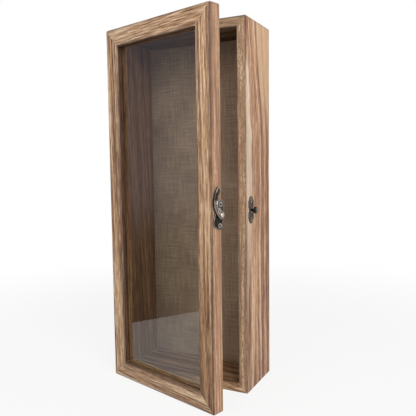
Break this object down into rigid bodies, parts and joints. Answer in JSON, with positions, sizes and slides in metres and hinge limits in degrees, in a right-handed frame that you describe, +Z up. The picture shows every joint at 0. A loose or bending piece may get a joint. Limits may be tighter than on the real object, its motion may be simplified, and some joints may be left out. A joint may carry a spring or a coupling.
{
  "type": "shadow box frame",
  "caption": "Tall narrow display case of torched wood with a glazed door on side hinges, closed by a swing hook and peg.",
  "frame": {"origin": "centre of the case's footprint, on its bottom face", "axes": "+Z up along the tall side, -Y out of the glazed front, +X to the latch side"},
  "size_m": [0.1939, 0.1471, 0.45],
  "materials": {
    "case_wood": "torched and brushed light wood, dark streaks along the grain, satin",
    "door_wood": "torched and brushed light wood, dark arrises, satin",
    "panel_board": "thin brown fibreboard, matte",
    "soft_board": "soft pinboard, matte",
    "backing_linen": "coarse woven linen, matte",
    "pane": "clear polished sheet",
    "antique_metal": "darkened bronze, rubbed bright on raised edges",
    "plain_steel": "zinc plated"
  },
  "bodies": {
    "case": {"case_left_wall": "case_wood", "case_right_wall": "case_wood", "case_top_wall": "case_wood", "case_bottom_wall": "case_wood", "back_panel": "panel_board", "backing_board": "soft_board", "backing_cloth": "backing_linen", "catch_plate": "antique_metal", "catch_peg": "antique_metal", "catch_screws": "antique_metal", "upper_hinge_case_leaf": "antique_metal", "lower_hinge_case_leaf": "antique_metal", "upper_hinge_pin": "antique_metal", "lower_hinge_pin": "antique_metal", "case_hinge_screws": "antique_metal", "back_panel_points": "plain_steel", "case_corner_v_nails": "plain_steel", "sawtooth_hanger": "plain_steel", "hanger_nails": "plain_steel"},
    "door": {"door_hinge_stile": "door_wood", "door_latch_stile": "door_wood", "door_top_rail": "door_wood", "door_bottom_rail": "door_wood", "glazing_bead_left": "door_wood", "glazing_bead_right": "door_wood", "glazing_bead_top": "door_wood", "glazing_bead_bottom": "door_wood", "door_glass": "pane", "latch_plate": "antique_metal", "latch_rivet": "antique_metal", "latch_screws": "antique_metal", "upper_hinge_door_leaf": "antique_metal", "lower_hinge_door_leaf": "antique_metal", "door_hinge_screws": "antique_metal", "door_corner_v_nails": "plain_steel", "bead_brads": "plain_steel"},
    "hook": {"latch_hook": "antique_metal"}
  },
  "joints": [
    {"name": "door_hinge", "type": "hinge", "parent": "case", "child": "door", "pos_m": [-0.0922, -0.0395, 0.225], "axis": [0, 0, -1], "range_deg": [-16.5, 163.5]},
    {"name": "hook_swing", "type": "hinge", "parent": "door", "child": "hook", "pos_m": [0.08122, -0.09556, 0.2245], "axis": [-0.9588, 0.284, 0], "range_deg": [-180, 104]}
  ]
}
